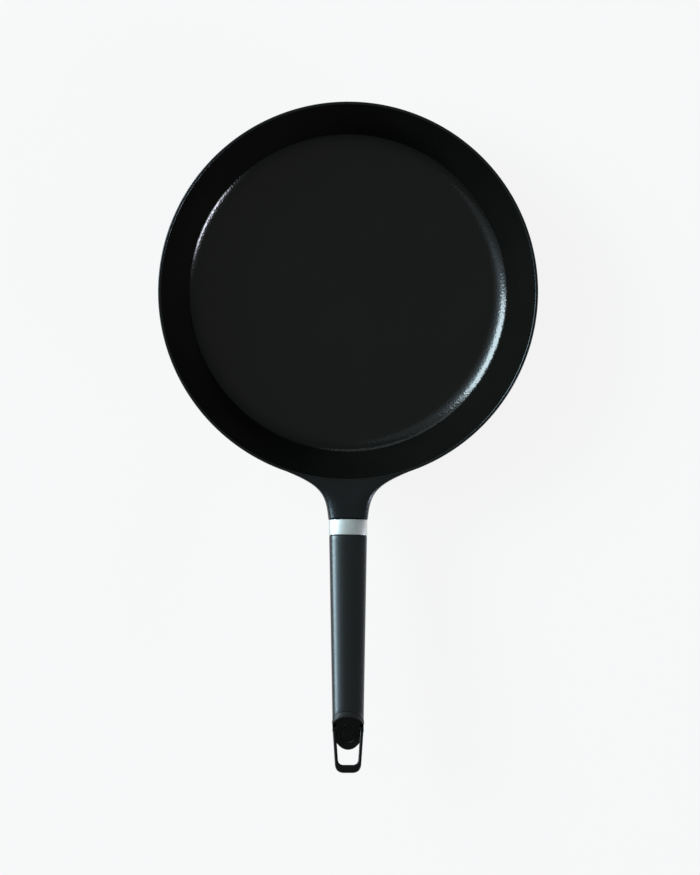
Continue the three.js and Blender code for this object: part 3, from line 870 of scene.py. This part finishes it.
def key_light():
    """A bright panel amid ever larger and dimmer ones, so that its reflection fades out."""
    softbox("key_panel", azimuth=157.5, elevation=29.8, width=3000, height=1900,
            radiance=12.8, colour=(0.78, 0.95, 1.0))
    softbox("key_halo", azimuth=158, elevation=34, width=3000, height=2680,
            radiance=2.8, colour=(0.60, 0.85, 1.0))
    softbox("key_glow", azimuth=163, elevation=38.5, width=4200, height=3940,
            radiance=0.56, colour=(0.60, 0.85, 1.0))
    softbox("wide_glow", azimuth=160, elevation=41, width=8000, height=6000,
            radiance=0.2, colour=(0.80, 0.93, 1.0))


def side_lights():
    """A dim panel behind the pan, and a small bright one low on the other side."""
    softbox("side_panel", azimuth=111, elevation=18, width=5200, height=900,
            radiance=0.55, colour=(0.85, 0.95, 1.0))
    softbox("low_panel", azimuth=-26.5, elevation=16, width=1800, height=1000,
            radiance=23, colour=(0.85, 0.88, 1.0))


def room():
    """Dim light from all round, which fades towards the horizon."""
    world = bpy.data.worlds.new("studio")
    world.use_nodes = True
    tree = world.node_tree
    way = tree.nodes.new("ShaderNodeTexCoord")
    height = tree.nodes.new("ShaderNodeSeparateXYZ")
    fade = tree.nodes.new("ShaderNodeValToRGB")
    fade.color_ramp.elements[0].color = (*HORIZON_LIGHT, 1)
    fade.color_ramp.elements[1].color = (*ZENITH_LIGHT, 1)
    tree.links.new(way.outputs["Generated"], height.inputs["Vector"])
    tree.links.new(height.outputs["Z"], fade.inputs["Fac"])
    tree.links.new(fade.outputs["Color"], tree.nodes["Background"].inputs["Color"])
    bpy.context.scene.world = world


def camera():
    """A long lens that looks straight down."""
    lens = bpy.data.cameras.new("camera")
    lens.lens = CAMERA_LENS
    lens.sensor_width = SENSOR_WIDTH
    lens.clip_end = CLIP_END * MM
    eye = bpy.data.objects.new("camera", lens)
    eye.location = Vector(CAMERA_PLACE) * MM
    bpy.context.scene.collection.objects.link(eye)
    bpy.context.scene.camera = eye


# The scene

def dress(piece, node, body, material):
    """Shades a piece smooth up to its edges, gives it its material and lets it stand for its node."""
    piece.data.materials.clear()
    piece.data.materials.append(material)
    piece.data.shade_smooth()
    piece.data.set_sharp_from_angle(angle=SMOOTH_ANGLE)
    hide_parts(node)
    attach(piece, body)


def finish_inside(bowl):
    """Gives the bowl a smooth cooking floor and a matte wall; the rest keeps its satin finish."""
    base = black_iron("black_iron_floor", IRON_SHADE, gloss=0.62, tint=NEUTRAL, low=0.15, high=0.18)
    wall = black_iron("black_iron_wall", WALL_SHADE, gloss=0.0, tint=NEUTRAL, low=0.50, high=0.54)
    bowl.data.materials.append(base)
    bowl.data.materials.append(wall)
    for face in bowl.data.polygons:
        centre = face.center / MM
        outwards = Vector((centre.x, centre.y, 0))
        faces_in = face.normal.z > 0 and face.normal.dot(outwards) < INWARD_LIMIT
        if faces_in and outwards.length < WALL_FOOT:
            face.material_index = 1
        elif faces_in and outwards.length < WALL_TOP:
            face.material_index = 2


def finish_band(cap):
    """Gives the cap's band, which runs along the handle, another shine than its face."""
    cap.data.materials.append(cap_resin("cap_resin_band", density=1.54, low=0.44, high=0.50))
    along = HANDLE.to_3x3() @ Vector((0, -1, 0))
    for face in cap.data.polygons:
        if abs(face.normal.dot(along)) < BAND_SLOPE:
            face.material_index = 1


def build():
    """Every piece in place of its node."""
    iron = black_iron("black_iron", IRON_SHADE, gloss=0.69, tint=COOL, low=0.25, high=0.29)
    moulding = cap_resin("cap_resin", density=1.4, low=0.28, high=0.34)
    zinc = zinc_steel()
    bowl = pan_body()
    dress(bowl, "pan_body", "pan", iron)
    finish_inside(bowl)
    dress(ferrule(), "ferrule", "pan", ferrule_steel())
    dress(grip(), "grip", "pan", grip_resin())
    cap = end_cap()
    dress(cap, "end_cap", "pan", moulding)
    finish_band(cap)
    dress(hanging_loop(), "hanging_loop", "loop", moulding)
    dress(loop_pin("loop_pin_left_fine", -1), "loop_pin_left", "pan", zinc)
    dress(loop_pin("loop_pin_right_fine", 1), "loop_pin_right", "pan", zinc)
    dress(handle_bolt(), "handle_bolt", "pan", zinc)
    dress(bolt_washer(), "bolt_washer", "pan", zinc)
    dress(lock_washer(), "lock_washer", "pan", zinc)
    dress(bolt_cover(), "bolt_cover", "pan", moulding)


build()
floor()
key_light()
side_lights()
room()
camera()
bpy.context.scene.view_settings.view_transform = "Standard"
